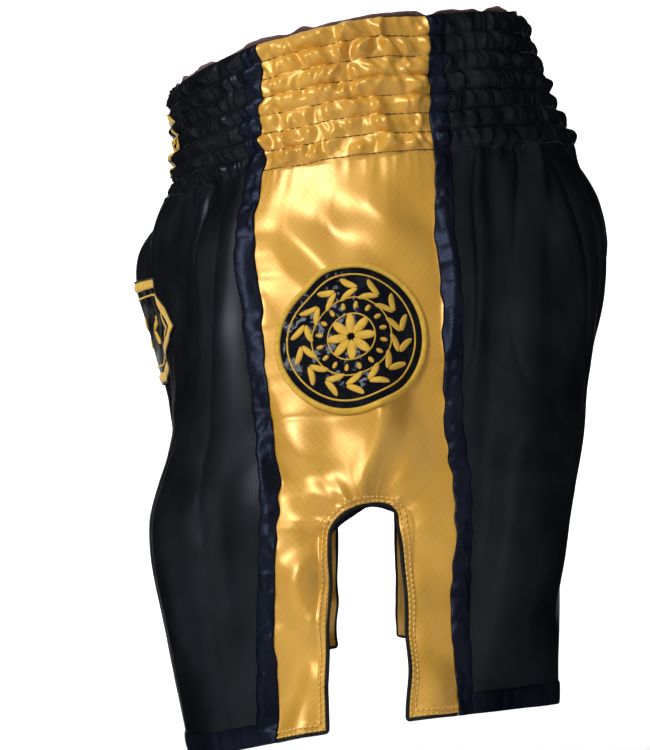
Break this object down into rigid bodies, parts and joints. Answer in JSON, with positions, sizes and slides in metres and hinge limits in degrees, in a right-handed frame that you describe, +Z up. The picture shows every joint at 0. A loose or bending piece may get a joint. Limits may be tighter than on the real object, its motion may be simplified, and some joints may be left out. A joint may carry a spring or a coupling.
{
  "type": "boxing shorts",
  "caption": "Thai-style boxing shorts with an elasticated waistband, gold satin side panels, an arched slit in each side and a round badge above it.",
  "frame": {"origin": "middle of the waist opening's top edge, on the wearer's upright axis", "axes": "+Z up along the wearer, -Y to the front of the shorts, +X to the wearer's left"},
  "size_m": [0.429, 0.2496, 0.3915],
  "materials": {
    "black_satin": "soft satin, long folds",
    "gold_satin": "glossy satin with a small diamond weave",
    "navy_satin": "puckered satin ribbon",
    "black_binding": "matt edge stitching",
    "white_elastic": "woven elastic",
    "facing_cloth": "plain woven",
    "black_vinyl": "glossy, slightly wrinkled",
    "gold_thread": "embroidery"
  },
  "bodies": {
    "root": {"back_hem_left": "navy_satin", "back_hem_right": "navy_satin", "back_panel_left": "black_satin", "back_panel_right": "black_satin", "back_trim_left": "navy_satin", "back_trim_right": "navy_satin", "badge_field_left": "black_vinyl", "badge_field_right": "black_vinyl", "badge_ring_left": "gold_thread", "badge_ring_right": "gold_thread", "badge_star_left": "gold_thread", "badge_star_right": "gold_thread", "drawstring_eyelet_left": "gold_thread", "drawstring_eyelet_right": "gold_thread", "elastic_strip_1": "white_elastic", "elastic_strip_2": "white_elastic", "elastic_strip_3": "white_elastic", "elastic_strip_4": "white_elastic", "elastic_strip_5": "white_elastic", "elastic_strip_6": "white_elastic", "elastic_strip_7": "white_elastic", "front_hem_left": "navy_satin", "front_hem_right": "navy_satin", "front_panel_left": "black_satin", "front_panel_right": "black_satin", "front_patch_border": "gold_thread", "front_patch_field": "black_vinyl", "front_trim_left": "navy_satin", "front_trim_right": "navy_satin", "side_panel_left": "gold_satin", "side_panel_right": "gold_satin", "slit_binding_left": "black_binding", "slit_binding_right": "black_binding", "waist_facing": "facing_cloth", "waistband_patch_border": "gold_thread", "waistband_patch_field": "black_vinyl"}
  },
  "joints": []
}
